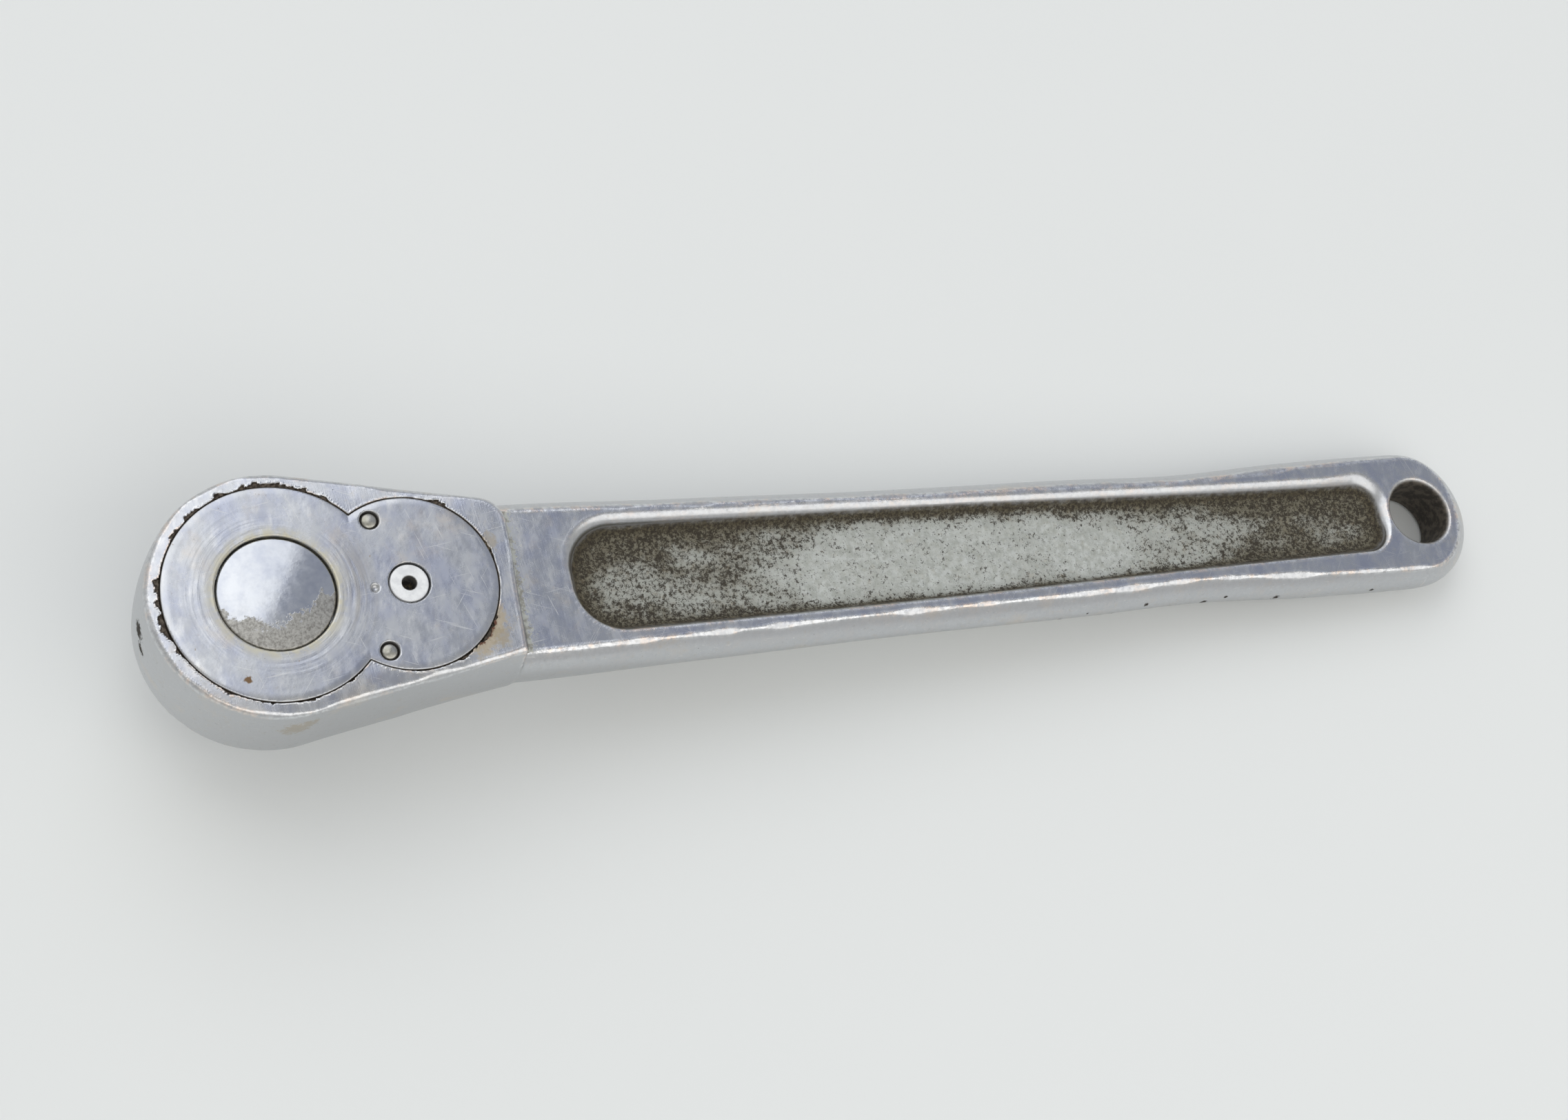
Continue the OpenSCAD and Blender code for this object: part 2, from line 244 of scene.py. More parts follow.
def slope(field, p, e=0.02):
    """The field's gradient at each point."""
    grads = []
    for d in range(3):
        ahead, behind = p.copy(), p.copy()
        ahead[:, d] += e
        behind[:, d] -= e
        grads.append((field(*ahead.T) - field(*behind.T)) / (2 * e))
    return np.stack(grads, axis=1)


def settle(field, p, rounds=4, reach=0.25):
    """Moves points onto the surface, and gives the surface's direction at each."""
    for _ in range(rounds):
        g = slope(field, p)
        move = (field(*p.T) / np.maximum((g * g).sum(1), 0.05))[:, None] * g
        length = np.linalg.norm(move, axis=1, keepdims=True)
        p = p - move * np.minimum(1, reach / np.maximum(length, 1e-9))
    g = slope(field, p, 0.04)
    return p, g / np.maximum(np.linalg.norm(g, axis=1, keepdims=True), 1e-9)


def curvature(field, p, h=0.3):
    """Positive on convex edges, negative in corners, about 1 / radius."""
    total = -6 * field(*p.T)
    for d in range(3):
        for shift in (-h, h):
            q = p.copy()
            q[:, d] += shift
            total = total + field(*q.T)
    return total / h**2


def new_piece(name, points, quads, normals, masks):
    """A smooth mesh object from points in millimetres, with one float attribute for each mask."""
    mesh = bpy.data.meshes.new(name)
    mesh.vertices.add(len(points))
    mesh.vertices.foreach_set("co", (points * MM).astype(np.float32).ravel())
    mesh.loops.add(quads.size)
    mesh.loops.foreach_set("vertex_index", quads.astype(np.int32).ravel())
    mesh.polygons.add(len(quads))
    mesh.polygons.foreach_set("loop_start", np.arange(0, quads.size, 4, dtype=np.int32))
    mesh.polygons.foreach_set("use_smooth", np.ones(len(quads), bool))
    for mask, values in masks.items():
        data = mesh.attributes.new(mask, "FLOAT", "POINT").data
        data.foreach_set("value", values.astype(np.float32))
    mesh.update(calc_edges=True)
    mesh.validate()
    mesh.normals_split_custom_set_from_vertices(normals.tolist())
    piece = bpy.data.objects.new(name, mesh)
    bpy.context.scene.collection.objects.link(piece)
    return piece


def field_piece(name, field, axes, masks=None):
    """A piece from a distance field, with masks for its edges, its crevices and its level faces."""
    points, quads = surface_net(field, axes)
    points, normals = settle(field, points)
    values = {k: f(*points.T) for k, f in (masks or {}).items()}
    bend = curvature(field, points)
    values["edge"] = np.clip(bend * 0.45, 0, 1)
    values["crevice"] = np.clip(-bend * 0.5, 0, 1)
    values["level"] = np.clip((np.abs(normals[:, 2]) - 0.9) / 0.08, 0, 1)
    return new_piece(name, points, quads, normals, values)


# ---------- handle body ----------

# Along the handle, in X: half width of its flats, how far its sides bulge, half thickness, half width of its panels.
flat_half_w = profile(
    [(30, 12.75), (75, 11.7), (105, 10.85), (150, 10.3), (166, 9.6), (176, 9.75), (190, 10.6), (212, 11.3)],
    soft=5.0,
)
side_bulge = profile([(30, 2.2), (45, 2.5), (75, 2.7), (190, 2.7), (212, 2.2), (220, 2.0)])
half_t = profile([(30, 6.0), (45, 5.9), (80, 5.2), (120, 4.5), (180, 4.9), (212, 5.1)])
panel_half_w = profile([(30, 9.95), (62, 9.9), (94, 9.4), (134, 8.5), (178, 7.5), (212, 7.05)])
forge_rough = lattice_noise(11)
forge_fine = lattice_noise(12)
wear_noise = lattice_noise(4)
chip_noise = lattice_noise(5)
chip_ragged = lattice_noise(6)


def head_plan(x, y):
    """Distance to a circle that runs out in two straight tapers towards the neck."""
    taper = math.radians(11.2)
    face_r = HEAD_R - FACE_INSET
    ay = np.abs(y)
    along = x * math.cos(taper) - ay * math.sin(taper)
    across = x * math.sin(taper) + ay * math.cos(taper)
    return np.where(along > 0, across, np.hypot(x, y)) - face_r


def head_solid(x, y, z):
    """Walls that bulge more towards the neck, a crowned face, and a softer edge below where the head runs out."""
    bulge = FACE_INSET + 1.35 * np.clip((x - 6) / 33, 0, 1) ** 1.5
    plan = head_plan(x, y)
    side = plan - bulge * (1 - ((z - MID_Z) / MID_Z) ** 2)
    corner_r = 0.7 + 3.0 * step(y, -6, 6)
    crown = 0.36 * np.clip(1 + plan / 4, 0, 1) ** 2 * (1 - step(x, 26, 36))
    worn = 0.4 + 0.7 * wear_noise(x / 4 + 9, y / 4) + 4.5 * step(x, 18, 38) * (z < MID_Z)
    return both(both(side, x - NECK_X, corner_r), np.abs(z - MID_Z) - MID_Z + crown, worn)


def bar_solid(x, y, z):
    """The handle without its panels and hole: bulging sides, fuller next to the head, and a round end."""
    high = np.abs(z - MID_Z)
    thick = half_t(x)
    rise = np.minimum(high / thick, 1.1)
    fullness = 2 + 1.2 * (1 - step(x, 42, 70))
    side = (np.abs(y) - flat_half_w(x) - side_bulge(x) * (1 - rise**fullness)) * 0.8
    r = np.hypot(x - END_X, y)
    tip = np.clip((x - END_X) / np.maximum(r, 0.1), 0, 1)
    end = (r - END_R + (2 + 2 * tip**2) * rise**2) * 0.8
    side = np.where(x > END_X, end, side)
    worn = 0.2 + 0.7 * wear_noise(x / 5, z / 9) ** 2
    return both(np.maximum(side, 30 - x), high - thick, worn)


def panel_plan(x, y):
    sides = np.abs(y) - panel_half_w(x)
    left = both(sides, PANEL_X[0] - x, 8.7)
    return both(left, x - PANEL_X[1], 5.0)


def panel_floor(x, y):
    """Height of the rough floor above the middle plane."""
    coarse = 0.22 * (forge_rough(x / 2.3, y / 2.3) - 0.5)
    fine = 0.12 * (forge_fine(x / 0.8, y / 0.8) - 0.5)
    return WEB_HALF + coarse + fine


def panel_void(x, y, z):
    high = np.abs(z - MID_Z)
    wall = panel_plan(x, y) + PANEL_DRAFT * (half_t(x) - high)
    return both(wall, panel_floor(x, y) - high, 1.3)


def cover_plan(x, y, grow=0.0):
    return np.minimum(disc(x, y, COVER_R + grow), disc(x, y, LOBE_R + grow, PIVOT_X))


# Where metal has broken away outside the cover: angle in degrees, half width in degrees, depth in mm.
HEAD_CHIPS = (
    (64, 9, 0.8),
    (88, 15, 0.9),
    (112, 4, 0.8),
    (129, 5, 0.8),
    (143, 4, 0.6),
    (170, 15, 1.3),
    (193, 8, 0.9),
    (208, 3, 0.5),
    (241, 6, 0.5),
    (257, 5, 0.4),
    (279, 7, 0.45),
    (306, 5, 0.5),
)
LOBE_CHIPS = ((63, 7, 0.7), (20, 10, 0.3), (-30, 6, 0.7), (-47, 12, 0.8), (-62, 6, 0.6))


def chip_band(x, y, centre_x, chips):
    """Depth of the chips round a circle's outline, at the angle of each place."""
    angle = np.degrees(np.arctan2(y, x - centre_x))
    width = 0.0
    for middle, half, depth in chips:
        off = (angle - middle + 180) % 360 - 180
        width = np.maximum(width, depth * (1 - step(np.abs(off), 0.5 * half, 1.3 * half)))
    return width


def chip_width(x, y):
    """How far metal has broken away outside the cover's outline."""
    waist_x = 14
    head = chip_band(x, y, 0, HEAD_CHIPS) * (x < waist_x)
    width = np.maximum(head, chip_band(x, y, PIVOT_X, LOBE_CHIPS) * (x > waist_x))
    ragged = 0.6 * chip_noise(x / 1.9, y / 1.9) + 0.4 * chip_ragged(x / 0.6, y / 0.6)
    return width * np.clip((ragged - 0.22) * 2.0, 0, 1.2) - 0.05


def chip_void(x, y, z):
    depth = 0.5 - 0.2 * chip_ragged(x / 0.9, y / 0.9)
    return np.maximum(cover_plan(x, y) - chip_width(x, y), HEAD_T - depth - z)


def cavity_void(x, y, z):
    plan = np.minimum(disc(x, y, CAVITY_R), disc(x, y, CAVITY_LOBE_R, PIVOT_X))
    plan = without(plan, disc(x, np.abs(y), POST_R, RIVET_X, RIVET_Y))
    return np.maximum(plan, slab(z, FLOOR_T, COVER_Z + 1))


def body_solid(x, y, z):
    d = either(head_solid(x, y, z), bar_solid(x, y, z), 0.3)
    roll = 0.5 + 0.9 * step(y, -3, 6) + 0.8 * step(x, 200, 209) * step(y, -7, 2)
    d = without(d, panel_void(x, y, z), roll)
    d = without(d, disc(x, y, HOLE_R, HOLE_X), 1.1)
    d = without(d, np.maximum(cover_plan(x, y, FIT), COVER_Z - z), 0.15)
    d = without(d, chip_void(x, y, z))
    d = without(d, cavity_void(x, y, z))
    d = without(d, disc(x, y, JOURNAL_R + FIT), 0.3)
    d = without(d, disc(x, y, SHAFT_R + FIT, PIVOT_X), 0.25)
    return without(d, disc(x, np.abs(y), RIVET_R + 0.02, RIVET_X, RIVET_Y), 0.15)


def mask_floor(x, y, z):
    """1 on the rough floor of a recessed panel."""
    high = np.abs(z - MID_Z)
    return (1 - step(high - WEB_HALF, 0.5, 1.3)) * (panel_plan(x, y) < 1)


def mask_corner(x, y, z):
    """1 at the foot of a panel's wall, falling off over its floor, and more slowly at the far side and the ends; it
    lays grime and painted shade in the recesses.
    """
    high = np.abs(z - MID_Z)
    into = np.maximum(-(panel_plan(x, y) + PANEL_DRAFT * (half_t(x) - high)), 0)
    # the longer reach on the far side paints the shade of the far wall
    reach = 0.9 + 1.3 * step(y, -2, 5) + 1.6 * (1 - step(x, 52, 60)) + 1.0 * step(x, 200, 208)
    rise = step(high - WEB_HALF, 0.9, 2.6)
    return np.exp(-into / reach) * (1 - 0.85 * rise) * (panel_plan(x, y) < 0.2)


def mask_seam(x, y, z):
    """1 along the cover's outline and in the chips beside it."""
    top = step(z, HEAD_T - 1.2, HEAD_T - 0.6)
    chips = step(0.12 - np.abs(chip_void(x, y, z)), 0, 0.08) * step(HEAD_T - z, 0.05, 0.15)
    return top * np.maximum(np.exp(-np.abs(cover_plan(x, y)) / 0.22), chips)


def mask_hole(x, y, z):
    """1 inside the hanging hole."""
    return 1 - step(disc(x, y, HOLE_R, HOLE_X), 0.15, 0.7)


def mask_neck(x, y, z):
    """1 on the bar in the corner beside the head, down to 0 about two millimetres along; near 1 it carries a line of
    painted shade from the step.
    """
    # width of the painted shade line along the corner of the step
    shade_line_width = 0.45 + 0.35 * step(y, 8, -12)
    beside = np.exp(-np.maximum(x - NECK_X - shade_line_width, 0) / 0.9) * (x > NECK_X - 0.4)
    below_face = np.abs(z - MID_Z) < MID_Z - 1.4
    return beside * below_face * (1 - step(np.abs(y) - flat_half_w(x), -0.4, 0.4))


def mask_rust(x, y, z):
    """1 hard against the lobe of the cover on its near right side, fading over a few millimetres."""
    off = disc(x, y, LOBE_R, PIVOT_X)
    angle = np.degrees(np.arctan2(y, x - PIVOT_X))
    along = step(angle, -62, -46) * (1 - step(angle, -34, -14))
    top = step(z, HEAD_T - 1.5, HEAD_T - 0.5)
    return np.exp(-np.maximum(off - 0.5, 0) / 1.5) * (off > -0.1) * along * top


body_axes = (
    join_axes((-HEAD_R - 0.6, 48, 0.3), (48, 205, 0.5), (205, body_high[0] + 0.5, 0.35)),
    join_axes((-HEAD_R - 0.6, -14, 0.4), (-14, 14, 0.3), (14, HEAD_R + 0.6, 0.4)),
    join_axes((-0.5, HEAD_T + 0.5, 0.3)),
)
handle_body = field_piece(
    "handle_body_forging",
    body_solid,
    body_axes,
    {
        "panel": mask_floor,
        "corner": mask_corner,
        "seam": mask_seam,
        "hole": mask_hole,
        "neck": mask_neck,
        "rust": mask_rust,
    },
)

# ---------- cover plate ----------


def cover_solid(x, y, z):
    """A plate rolled off a little at its outline, with its holes and a punch mark by the selector shaft."""
    plan = cover_plan(x, y)
    roll = 0.16 * np.clip(1 + plan / 1.3, 0, 1) ** 2
    d = both(plan, slab(z + roll * step(z, COVER_Z, HEAD_T), COVER_Z, HEAD_T), 0.2)
    d = without(d, disc(x, y, HUB_R + 0.18), 0.3)
    d = without(d, disc(x, y, SHAFT_END_R + 0.26, PIVOT_X), 0.12)
    d = without(d, disc(x, np.abs(y), RIVET_R + 0.08, RIVET_X, RIVET_Y), 0.22)
    punch = np.sqrt((x - 15.7) ** 2 + (y + 0.5) ** 2 + (z - HEAD_T - 0.35) ** 2) - 0.8
    return without(d, punch, 0.15)


def mask_rim(x, y, z):
    """1 beside each round hole and along the outline."""
    near = np.minimum(np.abs(cover_plan(x, y)), np.abs(disc(x, y, HUB_R)))
    near = np.minimum(near, np.abs(disc(x, y, SHAFT_END_R, PIVOT_X)))
    near = np.minimum(near, np.abs(disc(x, np.abs(y), RIVET_R, RIVET_X, RIVET_Y)))
    return np.exp(-near / 0.25)


cover = field_piece(
    "cover_plate_worn",
    cover_solid,
    (
        join_axes((-COVER_R - 0.5, cover_high[0] + 0.5, 0.25)),
        join_axes((-COVER_R - 0.5, COVER_R + 0.5, 0.25)),
        join_axes((COVER_Z - 0.4, HEAD_T + 0.4, 0.2)),
    ),
    {"rim": mask_rim},
)

# ---------- drive gear and square ----------


def drive_solid(x, y, z):
    """Gear, domed hub, journal and square in one, with the ball's bore across the square."""
    r = np.hypot(x, y)
    turn = np.arctan2(y, x) * TEETH / (2 * math.pi)
    off = np.abs(turn - np.round(turn))
    teeth = (r - GEAR_R + np.clip((off - 0.1) / 0.34, 0, 1)) * 0.75
    inner = (FLOOR_T + INNER_GAP, COVER_Z - INNER_GAP)
    gear = both(teeth, slab(z, *inner), 0.2)
    crown_r = HUB_R**2 / (2 * DOME_RISE)
    crown = np.sqrt(r**2 + (z - gear_high[2] + crown_r) ** 2) - crown_r
    hub = both(both(r - HUB_R, crown, 0.35), inner[0] + 1 - z)
    journal = both(r - JOURNAL_R, slab(z, -1.0, inner[0] + 1), 0.3)
    square = both(np.abs(x) - SQUARE_HALF, np.abs(y) - SQUARE_HALF, 1.4)
    tang = both(square, slab(z, SQUARE_TIP, 1.0), 0.9)
    d = np.minimum(np.minimum(gear, hub), either(journal, tang, 0.35))
    bore_r = BALL_R + FIT - np.clip((y - SQUARE_HALF + 0.6) / 0.6, 0, 1) * 0.4
    return without(d, np.maximum(np.hypot(x, z - BALL_Z) - bore_r, CROSS_BORE_END - y), 0.12)


drive = field_piece(
    "drive_gear_turned",
    drive_solid,
    (
        join_axes((-GEAR_R - 0.4, GEAR_R + 0.4, 0.3)),
        join_axes((-GEAR_R - 0.4, GEAR_R + 0.4, 0.3)),
        join_axes((SQUARE_TIP - 0.4, 15, 0.35), (15, gear_high[2] + 0.4, 0.2)),
    ),
)

# ---------- rivets ----------


def rivet_piece(name, side):
    def solid(x, y, z):
        r = disc(x, y, 0.0, RIVET_X, side * RIVET_Y)
        dome = 0.42 * (np.minimum(r, RIVET_R) / RIVET_R) ** 2
        ends = np.abs(z - MID_Z) - (rivet_high[2] - rivet_low[2]) / 2 + dome
        return both(r - RIVET_R, ends, 0.45)

    y = side * RIVET_Y
    return field_piece(
        name,
        solid,
        (
            join_axes((RIVET_X - 1.8, RIVET_X + 1.8, 0.15)),
            join_axes((y - 1.8, y + 1.8, 0.15)),
            join_axes((-0.3, 1.5, 0.15), (1.5, HEAD_T - 1.5, 0.7), (HEAD_T - 1.5, HEAD_T + 0.3, 0.15)),
        ),
    )


rivets = [rivet_piece(f"cover_rivet_{n}_peened", side) for n, side in ((1, -1), (2, 1))]

# ---------- selector shaft and lever ----------


def lever_frame(x, y):
    """Coordinates along and across the lever, from the selector axis."""
    c, s = math.cos(LEVER_ANGLE), math.sin(LEVER_ANGLE)
    return (x - PIVOT_X) * c + y * s, -(x - PIVOT_X) * s + y * c


def shaft_solid(x, y, z):
    """The shaft, thinner where it goes through the cover, with its centre hole and its two cross bores."""
    u, v = lever_frame(x, y)
    r = np.hypot(u, v)
    thick = both(r - SHAFT_R, slab(z, LEVER_BOTTOM, COVER_Z - INNER_GAP), 0.3)
    thin = both(r - SHAFT_END_R, slab(z, COVER_Z - 1, shaft_high[2]), 0.25)
    d = np.minimum(thick, thin)
    d = without(d, np.maximum(r - SHAFT_BORE_R, HEAD_T - 2.4 - z), 0.2)
    plunger_z = (FLOOR_T + COVER_Z) / 2
    d = without(d, np.maximum(np.hypot(v, z - plunger_z) - PLUNGER_BORE_R, CROSS_BORE_END - u))
    return without(d, np.hypot(u, z - PIN_Z) - PIN_BORE_R)


def mask_bore(x, y, z):
    """1 inside the centre hole."""
    return 1 - step(disc(x, y, SHAFT_BORE_R, PIVOT_X), -0.05, 0.2)


shaft = field_piece(
    "selector_shaft_turned",
    shaft_solid,
    (
        join_axes((PIVOT_X - 4.4, PIVOT_X + 4.4, 0.2)),
        join_axes((-4.4, 4.4, 0.2)),
        join_axes((LEVER_BOTTOM - 0.4, 15, 0.3), (15, HEAD_T + 0.3, 0.15)),
    ),
    {"bore": mask_bore},
)


def lever_solid(x, y, z):
    """A tapering thumb lever with four grooves under its end."""
    u, v = lever_frame(x, y)
    hub_r, pad_r, reach = 7.6, 5.2, 17.5
    fall = (hub_r - pad_r) / (reach - pad_r)
    arm = (np.abs(v) - hub_r + np.clip(u, 0, reach - pad_r) * fall) * 0.98
    arm = np.maximum(arm, np.maximum(-u, u - reach + pad_r))
    plan = either(np.minimum(np.hypot(u, v) - hub_r, disc(u, v, pad_r, reach - pad_r)), arm, 0.5)
    d = both(plan, slab(z, LEVER_BOTTOM, LEVER_TOP), 0.7)
    d = without(d, np.hypot(u, v) - SHAFT_R - 0.02, 0.15)
    for i in range(4):
        rib = np.hypot(u - reach + 2.6 + 1.9 * i, z - LEVER_BOTTOM + 0.05) - 0.6
        d = without(d, rib, 0.25)
    return without(d, np.hypot(u, z - PIN_Z) - PIN_BORE_R, 0.1)


lever = field_piece(
    "selector_lever_worn",
    lever_solid,
    (
        join_axes((lever_low[0] - 0.4, lever_high[0] + 0.4, 0.25)),
        join_axes((lever_low[1] - 0.4, lever_high[1] + 0.4, 0.25)),
        join_axes((LEVER_BOTTOM - 0.4, LEVER_TOP + 0.4, 0.2)),
    ),
)

# ---------- materials ----------


class Graph:
    """Helpers for building a node tree."""

    def __init__(self, tree):
        self.tree = tree
        tree.nodes.clear()

    def node(self, kind, **settings):
        made = self.tree.nodes.new(kind)
        for key, value in settings.items():
            setattr(made, key, value)
        return made

    def link(self, source, socket):
        self.tree.links.new(source, socket)

    def feed(self, socket, value):
        if isinstance(value, bpy.types.NodeSocket):
            self.link(value, socket)
        else:
            socket.default_value = value

    def math(self, operation, a, b=0.0, clamp=False):
        made = self.node("ShaderNodeMath", operation=operation, use_clamp=clamp)
        self.feed(made.inputs[0], a)
        self.feed(made.inputs[1], b)
        return made.outputs[0]

    def remap(self, value, low, high, to_low=0.0, to_high=1.0):
        made = self.node("ShaderNodeMapRange", interpolation_type="SMOOTHSTEP")
        self.feed(made.inputs["Value"], value)
        for socket, number in (("From Min", low), ("From Max", high), ("To Min", to_low), ("To Max", to_high)):
            made.inputs[socket].default_value = number
        return made.outputs["Result"]

    def blend(self, factor, a, b):
        """Colour a where factor is 0 and b where it is 1."""
        made = self.node("ShaderNodeMix", data_type="RGBA")
        colours = [s for s in made.inputs if s.type == "RGBA"]
        self.feed(made.inputs[0], factor)
        for socket, colour in zip(colours, (a, b)):
            self.feed(socket, (*colour, 1) if isinstance(colour, tuple) else colour)
        return next(s for s in made.outputs if s.type == "RGBA")

    def number(self, factor, a, b):
        """Number a where factor is 0 and b where it is 1."""
        made = self.node("ShaderNodeMix", data_type="FLOAT")
        self.feed(made.inputs[0], factor)
        self.feed(made.inputs[2], a)
        self.feed(made.inputs[3], b)
        return made.outputs[0]

    def split(self, vector):
        made = self.node("ShaderNodeSeparateXYZ")
        self.link(vector, made.inputs[0])
        return made.outputs


class Paint(Graph):
    """Builds one material. Texture places are in metres, in the piece's own frame, and sizes in millimetres."""

    def __init__(self, name):
        self.material = bpy.data.materials.new(name)
        self.material.use_nodes = True
        super().__init__(self.material.node_tree)
        self.place = self.node("ShaderNodeTexCoord").outputs["Object"]
        self.x, self.y, self.z = self.split(self.place)
        self.shader = self.node("ShaderNodeBsdfPrincipled")
        self.link(self.shader.outputs["BSDF"], self.node("ShaderNodeOutputMaterial").inputs["Surface"])

    def noise(self, size, detail=3.0, rough=0.55, seed=0.0, longer=(1, 1, 1), turn=0.0):
        """Noise from 0 to 1, with features of a size in mm, drawn out along axes turned about Z by some degrees."""
        mapping = self.node("ShaderNodeMapping", vector_type="TEXTURE")
        self.link(self.place, mapping.inputs["Vector"])
        mapping.inputs["Scale"].default_value = longer
        mapping.inputs["Rotation"].default_value = (0, 0, math.radians(turn))
        made = self.node("ShaderNodeTexNoise", noise_dimensions="4D")
        self.link(mapping.outputs["Vector"], made.inputs["Vector"])
        made.inputs["Scale"].default_value = 1 / (size * MM)
        made.inputs["Detail"].default_value = detail
        made.inputs["Roughness"].default_value = rough
        made.inputs["W"].default_value = seed
        return made.outputs["Fac"]

    def patches(self, size, low, high, seed, most=1.0, **settings):
        """0 to most, in patches of a size in mm."""
        return self.remap(self.noise(size, 4.0, 0.62, seed, **settings), low, high, 0.0, most)

    def scratches(self, size, share, seed, turns):
        """1 on thin straight marks running in a few directions."""
        total = 0.0
        for i, turn in enumerate(turns):
            line = self.noise(size, 1.0, 0.5, seed + i, (1, 30, 1), turn)
            total = self.math("MAXIMUM", total, self.remap(line, 1 - share, 1.06 - share))
        return total

    def rings(self, pitch, arcs, seed):
        """Noise drawn out along circles about the drive axis."""
        radius = self.radius()
        polar = self.node("ShaderNodeCombineXYZ")
        self.link(self.math("DIVIDE", radius, pitch * MM), polar.inputs[0])
        for socket, along in ((1, self.x), (2, self.y)):
            self.link(self.math("MULTIPLY", self.math("DIVIDE", along, radius), arcs), polar.inputs[socket])
        made = self.node("ShaderNodeTexNoise", noise_dimensions="4D")
        self.link(polar.outputs[0], made.inputs["Vector"])
        made.inputs["Scale"].default_value = 1
        made.inputs["W"].default_value = seed
        return made.outputs["Fac"]

    def radius(self):
        """Distance in metres from the drive axis."""
        squares = [self.math("MULTIPLY", along, along) for along in (self.x, self.y)]
        return self.math("SQRT", self.math("ADD", *squares))

    def spots(self, places, seed):
        """1 in ragged spots, each given by its place and its radius in mm."""
        total = 0.0
        for x, y, z, r in places:
            away = self.node("ShaderNodeVectorMath", operation="DISTANCE")
            self.link(self.place, away.inputs[0])
            away.inputs[1].default_value = (x * MM, y * MM, z * MM)
            share = self.math("SUBTRACT", 1.0, self.math("DIVIDE", away.outputs["Value"], r * MM))
            total = self.math("MAXIMUM", total, share)
        ragged = self.remap(self.noise(0.8, 4.0, 0.7, seed), 0.3, 0.7, -0.3, 0.3)
        return self.remap(self.math("ADD", total, ragged), 0.2, 0.62)

    def mask(self, name):
        """One of the piece's own masks."""
        return self.node("ShaderNodeAttribute", attribute_name=name).outputs["Fac"]

    def bump(self, height, depth, under=None):
        made = self.node("ShaderNodeBump")
        made.inputs["Strength"].default_value = 1.0
        made.inputs["Distance"].default_value = depth * MM
        self.link(height, made.inputs["Height"])
        if under is not None:
            self.link(under, made.inputs["Normal"])
        return made.outputs["Normal"]

    def finish(self, colour, rough, metal, normal=None):
        self.feed(self.shader.inputs["Base Color"], colour)
        self.feed(self.shader.inputs["Roughness"], rough)
        self.feed(self.shader.inputs["Metallic"], metal)
        if normal is not None:
            self.link(normal, self.shader.inputs["Normal"])
        return self.material


class Surface:
    """The colour, roughness, metal share and relief of a paint as coats are laid over it."""

    def __init__(self, paint, colour, rough, metal):
        self.paint, self.colour, self.rough, self.metal = paint, colour, rough, metal
        self.normal = None

    def coat(self, factor, colour, rough=None, metal=None):
        """Lays a coat over the surface wherever factor is 1."""
        p = self.paint
        self.colour = p.blend(factor, self.colour, colour)
        if rough is not None:
            self.rough = p.number(factor, self.rough, rough)
        if metal is not None:
            self.metal = p.number(factor, self.metal, metal)

    def relief(self, height, depth):
        self.normal = self.paint.bump(height, depth, self.normal)

    def finish(self):
        return self.paint.finish(self.colour, self.rough, self.metal, self.normal)


CHROME = (0.52, 0.53, 0.545)
CHROME_BLUE = (0.43, 0.45, 0.52)
CHROME_PALE = (0.70, 0.70, 0.69)
CHROME_WARM = (0.66, 0.57, 0.46)
# near-black brown: real dirt in specks and marks, and painted shade in creases and at the foot of the recess walls
DIRT_AND_SHADE = (0.026, 0.019, 0.011)
OLIVE = (0.125, 0.103, 0.052)
RUST = (0.100, 0.026, 0.010)
TAN = (0.50, 0.41, 0.27)
STAIN = (0.40, 0.33, 0.22)
# pale and peach edge colours: rubbed wear, and a painted highlight along the edges
EDGE_PALE_WEAR_AND_HIGHLIGHT = (0.86, 0.87, 0.88)
EDGE_PEACH_WEAR_AND_HIGHLIGHT = (0.90, 0.76, 0.66)
SCALE_DARK = (0.44, 0.455, 0.415)
SCALE_PALE = (0.62, 0.64, 0.61)
CRUST = (0.50, 0.51, 0.45)


def worn_chrome(p, seed, across=True):
    """Old plating: smooth on the walls; blotchy, finely marked and pitted on the level faces."""
    level = p.mask("level")
    blue = p.patches(4.5, 0.36, 0.68, seed, longer=(1, 1.5, 1), turn=10)
    pale = p.patches(2.0, 0.50, 0.72, seed + 1, 0.6, longer=(1, 2.2, 1), turn=-12)
    colour = p.blend(p.math("MULTIPLY", blue, level), CHROME, CHROME_BLUE)
    colour = p.blend(p.math("MULTIPLY", pale, level), colour, CHROME_PALE)
    colour = p.blend(p.patches(8, 0.54, 0.72, seed + 2, 0.4), colour, CHROME_WARM)
    rough = p.remap(p.noise(1.6, 3.0, 0.6, seed + 3, (1, 2, 1)), 0.3, 0.75, 0.18, 0.36)
    s = Surface(p, colour, p.number(level, 0.30, rough), 1.0)
    s.relief(p.noise(2.6, 3.0, 0.6, seed + 4), 0.028)
    if across:
        s.relief(p.math("MULTIPLY", p.noise(0.22, 2.0, 0.7, seed + 5, (1, 14, 14), 6), level), 0.014)
    scratch = p.scratches(0.28, 0.31, seed + 6, (20, -35, 70, 100))
    s.coat(p.math("MULTIPLY", scratch, 0.45), CHROME_PALE, 0.42)
    s.coat(p.patches(0.45, 0.70, 0.74, seed + 10, 0.85), DIRT_AND_SHADE, 0.8, 0.2)
    return s


def edge_wear_and_highlight(s, seed):
    """Edges rubbed bright, here and there down to the warmer metal under the plating, with a painted highlight in
    the pale and peach edge colours.
    """
    p = s.paint
    edge = p.math("MULTIPLY", p.mask("edge"), p.patches(0.8, 0.35, 0.6, seed))
    # painted highlight on the convex edges, over real rubbed wear
    s.coat(edge, p.blend(p.patches(4, 0.48, 0.6, seed + 1), EDGE_PALE_WEAR_AND_HIGHLIGHT, EDGE_PEACH_WEAR_AND_HIGHLIGHT), 0.28)
    s.relief(p.math("MULTIPLY", p.noise(0.5, 3.0, 0.7, seed + 2), p.mask("edge")), 0.10)


